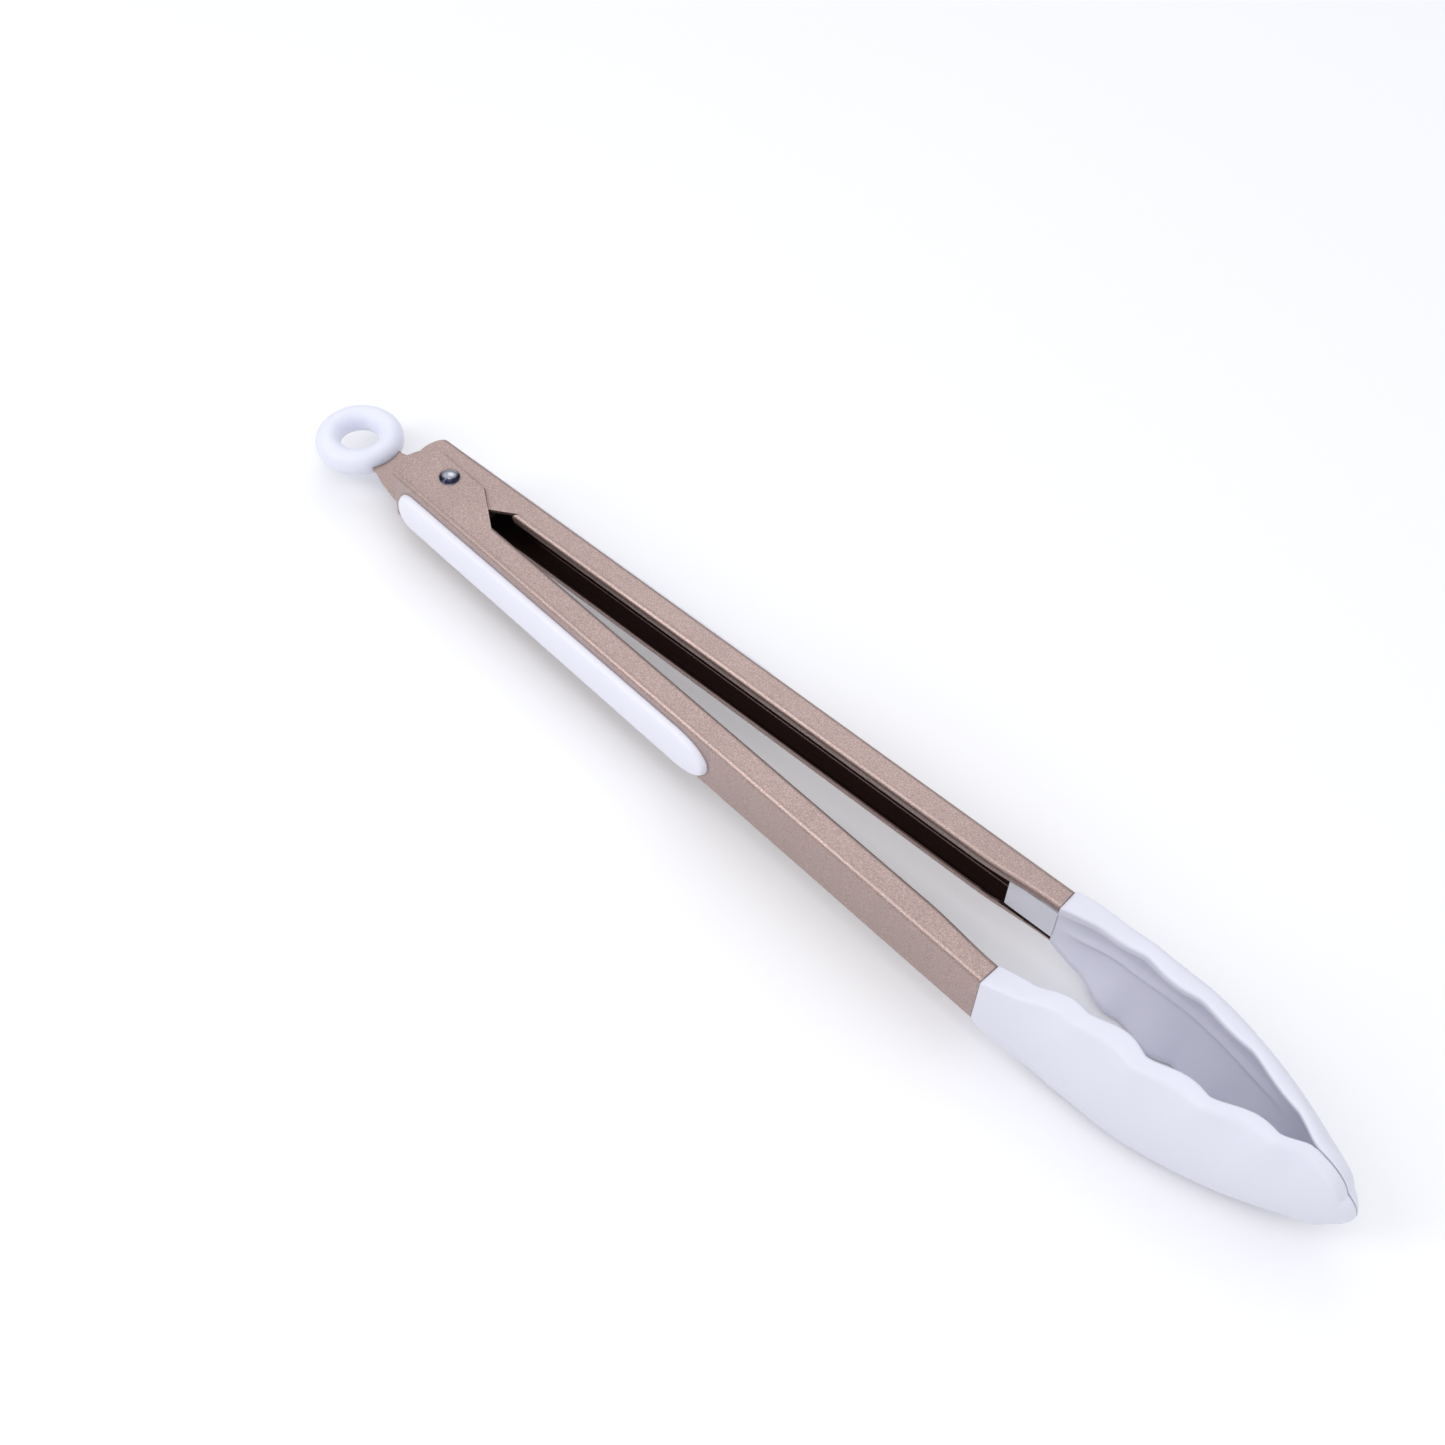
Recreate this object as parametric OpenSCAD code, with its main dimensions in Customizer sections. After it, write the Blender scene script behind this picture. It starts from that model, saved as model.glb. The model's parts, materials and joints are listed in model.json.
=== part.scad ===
// Spring loaded kitchen tongs with silicone heads, lying on their side,
// closed and locked. +X runs from the pull ring to the tips, +Z is the
// pivot axis. The origin is under the middle of the whole object, on the
// level of its lowest point. The outer arm lies on the -Y side.

/* [Arms] */
// Distance from the pivot axis to the outer face of an arm's web
web_reach = 9.54; // [9.2:0.02:10]
// Distance from the pivot axis to the head end of an arm's sheet
arm_length = 184.6; // [150:0.2:240]
// Height of the outer arm's channel, flange to flange
outer_height = 16; // [15:0.1:18]
// Depth of the channels, from web to lip
channel_depth = 7.05; // [6.8:0.05:7.2]
// Depth of the channels at their head end
end_depth = 6.1; // [5.6:0.1:6.2]
// Thickness of the arms' sheet
sheet = 0.8; // [0.6:0.05:1]
// Outside radius of the sheet's bends
bend_radius = 1.5; // [1.05:0.05:1.5]
// Height of the lip turned in along the open side
lip_height = 2.6; // [1.8:0.1:3]
// Angle between each closed arm and the object's middle plane
closed_angle = 2.07; // [1.6:0.01:2.4]

/* [Ears] */
// How far an ear reaches past the pivot axis towards the other arm
ear_reach = 4.1; // [3:0.1:4.5]
// Radius of an ear's rounded rear edge
ear_radius = 9.3; // [9:0.1:9.6]
// Where the ear's slanted front edge starts, ahead of the pivot
ear_front = 8.7; // [7:0.1:10]
// Where the ear's slanted front edge ends, ahead of the pivot
ear_end = 18.9; // [17:0.1:22]

/* [Pivot] */
// Radius of the rivet's shank
rivet_radius = 1.75; // [1.5:0.05:2]
// Radius of the rivet's two domed heads
rivet_head_radius = 2.7; // [2.4:0.1:4]
// Height of the rivet's domed heads
rivet_head_height = 1.4; // [1:0.1:2]
// Running clearance of the inner arm's ears on the shank
running_gap = 0.05; // [0.02:0.01:0.1]
// Outer radius of the sleeve on the shank
sleeve_radius = 2.9; // [2.4:0.1:3]
// Radius of the spring's wire
wire_radius = 0.9; // [0.7:0.05:0.95]
// Radius of the spring's coil, measured to the middle of the wire
coil_radius = 4.3; // [4.2:0.1:4.6]
// Length of the spring's legs ahead of the pivot
leg_reach = 24; // [18:1:28]

/* [Lock] */
// How far the lock plate slides in
lock_travel = 11.5; // [10:0.5:11.5]
// Half the width of the lock plate between the arms
plate_half_width = 7.7; // [7:0.1:7.7]
// Half the width of the lock plate's neck at the ring
neck_half_width = 4.5; // [3.5:0.1:4.5]
// Thickness of the lock plate
plate_thickness = 1; // [0.8:0.1:1]
// Distance from the pivot axis to the ring's centre, pulled out
ring_distance = 37.1; // [37:0.1:40]
// Radius of the ring, measured to the middle of its tube
ring_radius = 8.15; // [8:0.05:8.5]
// Radius of the ring's tube
ring_tube = 3.35; // [3.2:0.05:3.4]
// Radius of the ring's hanging hole
hanging_radius = 5; // [5:0.1:5.4]

/* [Grips] */
// Rear end of the grips, behind the pivot
grip_rear = 8.2; // [6:0.1:9]
// Front end of the grips, ahead of the pivot
grip_front = 103.4; // [80:0.2:130]
// Half the width of the grips
grip_half_width = 6; // [5:0.1:6.2]
// How far the grips stand proud of the web
grip_proud = 2.1; // [1.2:0.1:2.4]
// How far the grips sit below the middle of the web
grip_drop = 0.8; // [0:0.1:1]

/* [Heads] */
// Distance from the pivot axis to the end of the heads, along an arm
tip_reach = 267; // [240:0.5:330]
// Half the width of the heads where they are widest
head_half_width = 15; // [12:0.2:18]
// Thickness of the heads' silicone wall
head_wall = 3; // [2.6:0.1:3.4]
// Thickness of the heads' rim
head_rim = 3; // [2.4:0.1:3.4]
// Height of the scallops along the rims
scallop_height = 1.8; // [0:0.1:2]
// Distance from one scallop's notch to the next
scallop_pitch = 13.95; // [10:0.05:18]
// Length of the core's stem inside the channel
stem_length = 12.6; // [8:0.1:20]

/* [Hidden] */

$fn = 64;

// Clearances
layer_gap = 0.05;
tip_gap = 0.15;
slot_gap = 0.2;
plate_lift = 0.45;

// The inner arm's channel nests between the outer arm's flanges
inner_height = outer_height - 2 * (sheet + layer_gap);
lip_edge = channel_depth - web_reach;
end_edge = end_depth - web_reach;

// Plan of an ear
ear_centre = [-3.65, -3.7];
lip_start = ear_end + 0.4;

// The open side is cut back between these, so that the lips run out
cut_start = arm_length - 17;
cut_end = arm_length - 4;

// How far the grip's crown falls away at its sides
crown_drop = 1.1;

// Lock plate, whose edge goes from the ring to the front end
plate_floor = -inner_height / 2 + sheet + plate_lift;
plate_middle = plate_floor + plate_thickness / 2;
plate_edge = [
    [6.5 - ring_distance, neck_half_width],
    [-25.2, neck_half_width],
    [-22, 5.6],
    [-16, plate_half_width - 0.75],
    [-11.5, plate_half_width],
    [7, plate_half_width],
];
slot_radius = sleeve_radius + slot_gap;

// Spring
coil_turns = 4;
coil_pitch = 2 * wire_radius + 0.15;
coil_start = plate_floor + plate_thickness + 0.3 + wire_radius;
leg_wall = (web_reach - sheet) / cos(closed_angle) + leg_reach * tan(closed_angle);
leg_side = leg_wall - wire_radius - 0.15;
leg_angle = atan2(leg_side, leg_reach) + acos(coil_radius / norm([leg_reach, leg_side]));
coil_sweep = 360 * coil_turns + 2 * (180 - leg_angle);
coil_steps = 80;
wire_sides = 8;

// Heads; a share is a part of their length, and a power shapes a curve
head_length = tip_reach - arm_length;
head_steps = 44;
nose_share = 0.998;
side_flare = 0.27;
flare_power = 1.25;
side_taper = [0.36, 0.958];
side_powers = [3.3, 0.3];
beak_radius = 6;
beak_power = 5;
beak_start = 0.6;
bow_start = 0.38;
bow_powers = [1.41, 0.714];
rim_settle = 0.4;
rim_line = -0.42;
rim_rise = [0.423, 0.846];
rim_power = 1.45;
floor_settle = 0.18;
floor_step = 0.3;
scallop_fade = [0.06, 0.1];
scallop_sink = 0.6;
scallop_skew = 1.26;
first_notch = 205.96;
edge_rounds = [1.5, 3.2];
inner_ease = 0.8;
squareness = [2 / 9, 2 / 3];
least_inside = 0.35;
ring_crowding = 1.25;

// Tongue of a head's core
tongue_half = 4.5;
tongue_cover = 0.8;
tongue_thickness = 1.4;
tongue_share = 0.76;
tongue_steps = 10;

// Whole object
front_reach = tip_reach / cos(closed_angle) - tip_gap * tan(closed_angle);
rear_reach = ring_distance + ring_radius + ring_tube;
middle = (front_reach - rear_reach) / 2;

champagne = [0.70, 0.59, 0.55];
silicone = [0.93, 0.93, 0.96];
nylon = [0.88, 0.88, 0.92];
chrome = [0.80, 0.80, 0.82];
steel = [0.55, 0.55, 0.57];

// ---------------------------------------------------------------- helpers

// Moves the pivot frame to the object's frame
module placed() {
    translate([-middle, 0, head_half_width])
        children();
}

// Puts a shape built for an arm on the outer arm, or on the inner one
module on_outer_arm() {
    placed()
        rotate([0, 0, -closed_angle])
            children();
}

module on_inner_arm() {
    placed()
        rotate([0, 0, closed_angle])
            mirror([0, 1, 0])
                children();
}

// Rectangle with round corners, its left edge on the Y axis
module rounded_bar(width, height, radius) {
    translate([0, -height / 2 + radius])
        square([width, height - 2 * radius]);
    translate([radius, -height / 2])
        square([width - 2 * radius, height]);
    for (x = [radius, width - radius], y = [-1, 1])
        translate([x, y * (height / 2 - radius)])
            circle(radius);
}

// Extrudes a section drawn across the arm along it
module along_arm(from, to) {
    translate([from, 0, 0])
        rotate([90, 0, 90])
            linear_extrude(to - from)
                children();
}

// Bar with round ends, seen from the side of the web, from y0 to y1
module web_bar(from, to, half, y0, y1) {
    translate([from + half, y0, -half])
        cube([to - from - 2 * half, y1 - y0, 2 * half]);
    for (x = [from + half, to - half])
        translate([x, y1, 0])
            rotate([90, 0, 0])
                cylinder(h = y1 - y0, r = half);
}

// ------------------------------------------------------------------- arms

// Hollow inside the bent sheet
module channel_void(height, depth) {
    translate([sheet - web_reach, 0])
        rounded_bar(depth - 2 * sheet, height - 2 * sheet, bend_radius - sheet);
}

module lipped_section(height) {
    difference() {
        translate([-web_reach, 0])
            rounded_bar(channel_depth, height, bend_radius);
        channel_void(height, channel_depth);
        translate([lip_edge - bend_radius, -height / 2 + lip_height])
            square([2 * bend_radius, height - 2 * lip_height]);
    }
}

module open_section(height) {
    full_depth = web_reach + ear_reach + 2 * bend_radius;
    difference() {
        translate([-web_reach, 0])
            rounded_bar(full_depth, height, bend_radius);
        channel_void(height, full_depth + 2 * bend_radius);
    }
}

module ear_plan() {
    intersection() {
        translate(ear_centre)
            circle(ear_radius, $fn = 128);
        translate([-2 * ear_radius, -2 * ear_radius])
            square([3 * ear_radius, 2 * ear_radius + ear_reach]);
    }
    polygon([
        [ear_centre.x, -web_reach - 1],
        [ear_centre.x, ear_reach],
        [ear_front, ear_reach],
        [ear_end, lip_edge],
        [lip_start + 1, lip_edge],
        [lip_start + 1, -web_reach - 1],
    ]);
}

// What is cut off the open side near the head end
module open_side_cut(height) {
    translate([0, 0, -height])
        linear_extrude(2 * height)
            polygon([
                [cut_start, lip_edge + 1],
                [cut_start, lip_edge],
                [cut_end, end_edge],
                [arm_length + 1, end_edge],
                [arm_length + 1, lip_edge + 1],
            ]);
}

module arm(height, hole_radius) {
    difference() {
        union() {
            intersection() {
                translate([0, 0, -height])
                    linear_extrude(2 * height)
                        ear_plan();
                along_arm(-2 * ear_radius, lip_start + 2)
                    open_section(height);
            }
            along_arm(lip_start, arm_length)
                lipped_section(height);
        }
        translate([0, 0, -height])
            cylinder(h = 2 * height, r = hole_radius);
        open_side_cut(height);
    }
}

module outer_arm() {
    color(champagne)
        on_outer_arm()
            arm(outer_height, rivet_radius);
}

module inner_arm() {
    color(champagne)
        on_inner_arm()
            arm(inner_height, rivet_radius + running_gap);
}

// ------------------------------------------------------------------ pivot

module rivet_dome() {
    ball = (pow(rivet_head_radius, 2) + pow(rivet_head_height, 2)) / (2 * rivet_head_height);
    intersection() {
        translate([0, 0, outer_height / 2 + rivet_head_height - ball])
            sphere(ball);
        translate([0, 0, outer_height / 2])
            cylinder(h = 2 * ball, r = rivet_head_radius);
    }
}

module pivot_rivet() {
    color(chrome)
        placed() {
            translate([0, 0, -outer_height / 2])
                cylinder(h = outer_height, r = rivet_radius);
            rivet_dome();
            mirror([0, 0, 1])
                rivet_dome();
        }
}

module pivot_sleeve() {
    height = inner_height - 2 * (sheet + layer_gap);
    color(nylon)
        placed()
            translate([0, 0, -height / 2])
                difference() {
                    cylinder(h = height, r = sleeve_radius);
                    translate([0, 0, -1])
                        cylinder(h = height + 2, r = rivet_radius);
                }
}

// Middle line of the spring: one leg, the coil, the other leg
function coil_point(share) =
    let (angle = -leg_angle - share * coil_sweep)
    let (rise = share * coil_sweep / 360 * coil_pitch)
    [coil_radius * cos(angle), coil_radius * sin(angle), coil_start + rise];

spring_path = concat(
    [[leg_reach, -leg_side, coil_start]],
    [for (i = [0 : coil_steps]) coil_point(i / coil_steps)],
    [[leg_reach, leg_side, coil_start + coil_sweep / 360 * coil_pitch]]);

function unit(v) = v / norm(v);

// Ring of points round the path's point i
function wire_ring(path, i) =
    let (last = len(path) - 1)
    let (along = unit(path[min(i + 1, last)] - path[max(i - 1, 0)]))
    let (side = unit(cross([0, 0, 1], along)))
    let (up = cross(along, side))
    [for (k = [0 : wire_sides - 1])
        path[i] + wire_radius * (cos(360 * k / wire_sides) * side + sin(360 * k / wire_sides) * up)];

// Tube with closed ends through rings of equal size, each of which runs
// anticlockwise as seen from the last ring
module tube(rings) {
    sides = len(rings[0]);
    last = len(rings) - 1;
    polyhedron(
        points = [for (ring = rings) each ring],
        faces = concat(
            [[for (k = [0 : sides - 1]) k]],
            [for (i = [0 : last - 1], k = [0 : sides - 1])
                let (next = (k + 1) % sides)
                [i * sides + k, (i + 1) * sides + k, (i + 1) * sides + next, i * sides + next]],
            [[for (k = [sides - 1 : -1 : 0]) last * sides + k]]));
}

module torsion_spring() {
    color(steel)
        placed()
            tube([for (i = [0 : len(spring_path) - 1]) wire_ring(spring_path, i)]);
}

// ------------------------------------------------------------------- lock

module plate_plan() {
    last = len(plate_edge) - 1;
    polygon(concat(
        [for (p = plate_edge) [p.x, -p.y]],
        [for (i = [last : -1 : 0]) plate_edge[i]]));
}

module lock_plate() {
    color(champagne)
        placed()
            translate([0, 0, plate_floor])
                difference() {
                    linear_extrude(plate_thickness)
                        plate_plan();
                    translate([-lock_travel, -slot_radius, -1])
                        cube([lock_travel, 2 * slot_radius, plate_thickness + 2]);
                    for (x = [-lock_travel, 0])
                        translate([x, 0, -1])
                            cylinder(h = plate_thickness + 2, r = slot_radius);
                }
}

module pull_ring() {
    color(silicone)
        placed()
            difference() {
                translate([-ring_distance, 0, plate_middle])
                    difference() {
                        rotate_extrude($fn = 128)
                            translate([ring_radius, 0])
                                circle(ring_tube);
                        translate([0, 0, -ring_tube])
                            cylinder(h = 2 * ring_tube, r = hanging_radius);
                    }
                translate([0, 0, plate_floor])
                    linear_extrude(plate_thickness)
                        plate_plan();
            }
}

// ------------------------------------------------------------------ grips

module grip() {
    crown = (pow(grip_half_width, 2) + pow(crown_drop, 2)) / (2 * crown_drop);
    intersection() {
        web_bar(-grip_rear, grip_front, grip_half_width, -web_reach - grip_proud, -web_reach);
        translate([-2 * grip_rear, crown - web_reach - grip_proud, 0])
            rotate([0, 90, 0])
                cylinder(h = 2 * grip_front, r = crown, $fn = 128);
    }
}

module outer_grip() {
    color(silicone)
        on_outer_arm()
            translate([0, 0, -grip_drop])
                grip();
}

module inner_grip() {
    color(silicone)
        on_inner_arm()
            translate([0, 0, -grip_drop])
                grip();
}

// ------------------------------------------------------------------ heads

function smooth(t) = let (c = max(0, min(1, t))) c * c * (3 - 2 * c);
function mix(a, b, t) = a + (b - a) * t;

// Each of these is a measure of the head at share u of its length, in the
// arm's own frame, where the other head is at +Y
function head_x(u) = arm_length + u * head_length;
function contact(u) = (head_x(u) * sin(closed_angle) - tip_gap) / cos(closed_angle);

// The body tapers to a narrow beak with a round end
function half_width(u, root) =
    let (v = max(0, u - side_taper[0]) / (side_taper[1] - side_taper[0]))
    let (flare = 1 - pow(1 - min(1, u / side_flare), flare_power))
    let (taper = pow(max(0, 1 - pow(v, side_powers[0])), side_powers[1]))
    let (body = mix(root, head_half_width, flare) * taper)
    let (ahead = max(0, (1 - u) * head_length))
    let (beak = sqrt(ahead * max(0, 2 * beak_radius - ahead)))
    u < beak_start
        ? body
        : pow(pow(body, beak_power) + pow(beak, beak_power), 1 / beak_power);

function back(u) =
    let (v = max(0, u - bow_start) / (1 - bow_start))
    mix(-web_reach, contact(u), 1 - pow(1 - pow(v, bow_powers[0]), bow_powers[1]));

function scallop(u) =
    let (fade = smooth((u - scallop_fade[0]) / scallop_fade[1]))
    let (count = (head_x(u) - first_notch) / scallop_pitch)
    let (wave = sin(180 * pow(count - floor(count), scallop_skew)))
    scallop_height * fade * (wave - scallop_sink);

function rim(u) =
    let (rise = pow(max(0, u - rim_rise[0]) / (rim_rise[1] - rim_rise[0]), rim_power))
    let (base = mix(end_edge, rim_line, smooth(u / rim_settle)))
    let (line = mix(base, contact(u), min(1, rise)))
    min(contact(u), line + (u < rim_rise[1] ? scallop(u) : 0));

function floor_line(u) =
    let (deep = mix(end_edge - floor_step, back(u) + head_wall, smooth(u / floor_settle)))
    min(rim(u) - 0.02, deep);

function power_sign(value, power) = sign(value) * pow(abs(value), power);

// One cross-section [y, z] of the head's wall, root being its half height there
function head_section(u, root) =
    let (w = half_width(u, root))
    let (y_rim = rim(u))
    let (y_back = back(u))
    let (y_floor = floor_line(u))
    let (full_round = mix(edge_rounds[0], edge_rounds[1], smooth((u - 0.8) / 0.15)))
    let (round = min(full_round, 0.45 * (y_rim - y_back), 0.45 * w))
    let (w_in = max(least_inside * w, w - head_rim))
    let (ease = min(inner_ease, (y_rim - y_floor) / 2, w_in / 3))
    let (square_out = mix(squareness[0], squareness[1], smooth(u / 0.3)))
    concat(
        [for (a = [90 : -10 : -90])
            [mix(y_rim - round, y_back, pow(cos(a), square_out)), w * power_sign(sin(a), square_out)]],
        [for (a = [30, 60, 90])
            [y_rim - round * (1 - sin(a)), -w + round * (1 - cos(a))]],
        [for (a = [0, 45])
            [y_rim - ease * (1 - cos(a)), -w_in - ease * (1 - sin(a))]],
        [for (a = [-90 : 15 : 90])
            [mix(y_rim - ease, y_floor, pow(cos(a), squareness[1])),
             w_in * power_sign(sin(a), squareness[1])]],
        [for (a = [45, 0])
            [y_rim - ease * (1 - cos(a)), w_in + ease * (1 - sin(a))]],
        [for (a = [90, 60, 30])
            [y_rim - round * (1 - sin(a)), w - round * (1 - cos(a))]]);

module head_shell(root) {
    tube([for (i = [0 : head_steps])
        let (u = 1 - pow(1 - i / head_steps, ring_crowding))
        [for (p = head_section(u * nose_share, root)) [head_x(u), p.x, p.y]]]);
}

// Tongue of the core that lies inside the silicone wall
module core_tongue() {
    inner = tongue_cover + tongue_thickness;
    tube([for (i = [0 : tongue_steps])
        let (u = tongue_share * i / tongue_steps)
        let (x = i == 0 ? arm_length - 1 : head_x(u))
        [for (p = [[tongue_cover, -1], [inner, -1], [inner, 1], [tongue_cover, 1]])
            [x, back(u) + p.x, tongue_half * p.y]]]);
}

module head_core(height) {
    along_arm(arm_length - stem_length, arm_length) {
        channel_void(height, end_depth);
        translate([sheet - web_reach + 1, -height / 2 + lip_height])
            square([end_depth - sheet - 1, height - 2 * lip_height]);
    }
    core_tongue();
}

module head(height) {
    difference() {
        head_shell(height / 2);
        core_tongue();
    }
}

module outer_head_core() {
    color(nylon)
        on_outer_arm()
            head_core(outer_height);
}

module inner_head_core() {
    color(nylon)
        on_inner_arm()
            head_core(inner_height);
}

module outer_head() {
    color(silicone)
        on_outer_arm()
            head(outer_height);
}

module inner_head() {
    color(silicone)
        on_inner_arm()
            head(inner_height);
}

outer_arm();
inner_arm();
pivot_rivet();
pivot_sleeve();
torsion_spring();
lock_plate();
pull_ring();
outer_grip();
inner_grip();
outer_head_core();
inner_head_core();
outer_head();
inner_head();
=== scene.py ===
import json
from math import acos, atan2, copysign, cos, exp, hypot, pi, radians, sin, sqrt, tan

import bmesh
import bpy
import numpy as np
from mathutils import Matrix, Vector


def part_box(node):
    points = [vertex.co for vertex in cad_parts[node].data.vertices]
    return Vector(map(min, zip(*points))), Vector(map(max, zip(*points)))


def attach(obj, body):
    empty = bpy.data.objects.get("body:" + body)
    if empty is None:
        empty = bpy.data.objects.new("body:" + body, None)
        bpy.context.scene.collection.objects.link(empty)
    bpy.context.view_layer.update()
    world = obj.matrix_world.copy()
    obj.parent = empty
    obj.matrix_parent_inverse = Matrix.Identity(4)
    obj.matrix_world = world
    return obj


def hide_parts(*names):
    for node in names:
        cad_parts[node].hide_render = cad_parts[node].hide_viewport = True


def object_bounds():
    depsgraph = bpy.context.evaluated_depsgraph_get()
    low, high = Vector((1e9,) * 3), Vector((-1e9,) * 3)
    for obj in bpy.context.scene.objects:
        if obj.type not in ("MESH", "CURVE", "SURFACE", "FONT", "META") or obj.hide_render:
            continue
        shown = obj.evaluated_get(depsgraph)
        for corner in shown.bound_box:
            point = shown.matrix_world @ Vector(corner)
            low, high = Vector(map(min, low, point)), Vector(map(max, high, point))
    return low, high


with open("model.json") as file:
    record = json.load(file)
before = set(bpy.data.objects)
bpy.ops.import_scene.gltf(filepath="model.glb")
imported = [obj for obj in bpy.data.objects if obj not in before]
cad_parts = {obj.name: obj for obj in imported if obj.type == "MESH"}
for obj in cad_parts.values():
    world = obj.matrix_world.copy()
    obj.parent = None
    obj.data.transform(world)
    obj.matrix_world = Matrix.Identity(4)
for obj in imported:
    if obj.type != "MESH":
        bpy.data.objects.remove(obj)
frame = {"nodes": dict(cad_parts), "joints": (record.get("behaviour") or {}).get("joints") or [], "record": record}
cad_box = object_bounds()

# Spring loaded kitchen tongs, lying closed and locked. Shapes are in
# millimetres in each arm's own frame, x along the arm from the pivot, y
# towards the other arm and z along the pivot axis. Materials, floor, lights
# and camera are in metres.

MM = 0.001
CLOSED = radians(2.07)
SIDES = ("outer", "inner")

# Arms
WEB_REACH = 9.54
ARM_LENGTH = 184.6
CHANNEL_DEPTH = 7.05
END_DEPTH = 6.1
SHEET = 0.8
LIP_EDGE = CHANNEL_DEPTH - WEB_REACH
END_EDGE = END_DEPTH - WEB_REACH
LIP_TAPER = (164.0, 184.0)
LIP_HEIGHTS = (2.6, 1.7)
BEND = 1.5
EDGE_ROUND = 0.2
ARM_HALF_HEIGHT = {"outer": 8.0, "inner": 7.15}
EAR_CENTRE = (-3.65, -3.7)
EAR_RADIUS = 9.3
EAR_REACH = 4.1
EAR_FRONT = 8.7
EAR_END = 18.6
EAR_LEAN = (EAR_END - EAR_FRONT) / (EAR_REACH - LIP_EDGE)

# Heads
TIP_REACH = 267.0
HEAD_LENGTH = TIP_REACH - ARM_LENGTH
HEAD_HALF_WIDTH = 15.0
TIP_GAP = 0.15

# Grips
GRIP_REAR = -8.2
GRIP_FRONT = 103.4
GRIP_HALF = (5.4, 5.9)
GRIP_ENDS = (5.5, 11.0)
GRIP_STEP = 0.35
GRIP_PROUD = 2.1
GRIP_DROP = 0.8
GRIP_SQUARENESS = 0.9

# Rivet
RIVET_RADIUS = 2.7
RIVET_HEIGHT = 1.4
SHANK_RADIUS = 1.75

# Spring
WIRE = 0.9
COIL_RADIUS = 4.3
LEG_REACH = 24.0
LEG_GAP = 0.15
COIL_LAP = radians(50)

pivot = Vector(next(j["pos_m"] for j in frame["joints"] if j["name"] == "arm_open"))


# ------------------------------------------------------------------- helpers

def arm_place(side):
    """Matrix from an arm's own frame to the shared frame."""
    turn = Matrix.Rotation(-CLOSED if side == "outer" else CLOSED, 4, "Z")
    flip = Matrix.Diagonal((1, 1 if side == "outer" else -1, 1, 1))
    return Matrix.Translation(pivot) @ turn @ flip


def add_piece(name, points, faces, place, material, body, sharp=35):
    """Smooth-shaded mesh of points in millimetres, riding on a body."""
    if place.to_3x3().determinant() < 0:
        faces = [face[::-1] for face in faces]
    mesh = bpy.data.meshes.new(name)
    mesh.from_pydata([place @ (Vector(p) * MM) for p in points], [], faces)
    mesh.validate()
    mesh.set_sharp_from_angle(angle=radians(sharp))
    mesh.materials.append(material)
    piece = bpy.data.objects.new(name, mesh)
    bpy.context.scene.collection.objects.link(piece)
    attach(piece, body)
    return piece


def loft(rings, closed=False):
    """Points and faces of a tube through rings of equal size."""
    sides = len(rings[0])
    points = [point for ring in rings for point in ring]
    faces = []
    last = len(rings) if closed else len(rings) - 1
    for i in range(last):
        here = i * sides
        there = (i + 1) % len(rings) * sides
        for k in range(sides):
            after = (k + 1) % sides
            faces.append((here + k, here + after, there + after, there + k))
    if not closed:
        faces.append(tuple(reversed(range(sides))))
        faces.append(tuple(range((len(rings) - 1) * sides, len(rings) * sides)))
    return points, faces


def smooth(t):
    """Eases from 0 to 1 as t goes from 0 to 1."""
    c = min(1.0, max(0.0, t))
    return c * c * (3 - 2 * c)


def mix(a, b, t):
    return a + (b - a) * t


def bend_corner(before, corner, after, size, steps, size_in=None):
    """Points of a soft corner, a quadratic curve that starts size_in away and ends size away."""
    before, corner, after = (np.array(p, float) for p in (before, corner, after))
    reach_in = min(size_in or size, 0.499 * np.linalg.norm(before - corner))
    reach_out = min(size, 0.499 * np.linalg.norm(after - corner))
    start = corner + (before - corner) / max(np.linalg.norm(before - corner), 1e-9) * reach_in
    end = corner + (after - corner) / max(np.linalg.norm(after - corner), 1e-9) * reach_out
    curve = []
    for i in range(steps + 1):
        t = i / steps
        curve.append(tuple((1 - t) ** 2 * start + 2 * t * (1 - t) * corner + t * t * end))
    return curve


# ----------------------------------------------------------------- materials

def new_material(name, color, roughness, metallic=0.0):
    """Material with its shader and an object-space coordinate."""
    material = bpy.data.materials.new(name)
    material.use_nodes = True
    nodes = material.node_tree.nodes
    shader = nodes["Principled BSDF"]
    shader.inputs["Base Color"].default_value = (*color, 1)
    shader.inputs["Roughness"].default_value = roughness
    shader.inputs["Metallic"].default_value = metallic
    place = nodes.new("ShaderNodeTexCoord")
    return material, shader, place.outputs["Object"]


def noise(material, place, size, detail=2.0, stretch=(1, 1, 1)):
    """Noise whose features are about size metres, as a factor."""
    nodes = material.node_tree.nodes
    links = material.node_tree.links
    mapping = nodes.new("ShaderNodeMapping")
    mapping.inputs["Scale"].default_value = stretch
    texture = nodes.new("ShaderNodeTexNoise")
    texture.inputs["Scale"].default_value = 1 / size
    texture.inputs["Detail"].default_value = detail
    links.new(place, mapping.inputs["Vector"])
    links.new(mapping.outputs["Vector"], texture.inputs["Vector"])
    return texture.outputs["Fac"]


def ramp(material, factor, stops):
    """Colour ramp through (position, colour) stops."""
    node = material.node_tree.nodes.new("ShaderNodeValToRGB")
    elements = node.color_ramp.elements
    while len(elements) < len(stops):
        elements.new(0.5)
    for element, (position, color) in zip(elements, stops):
        element.position = position
        element.color = (*color, 1)
    material.node_tree.links.new(factor, node.inputs["Fac"])
    return node.outputs["Color"]


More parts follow.
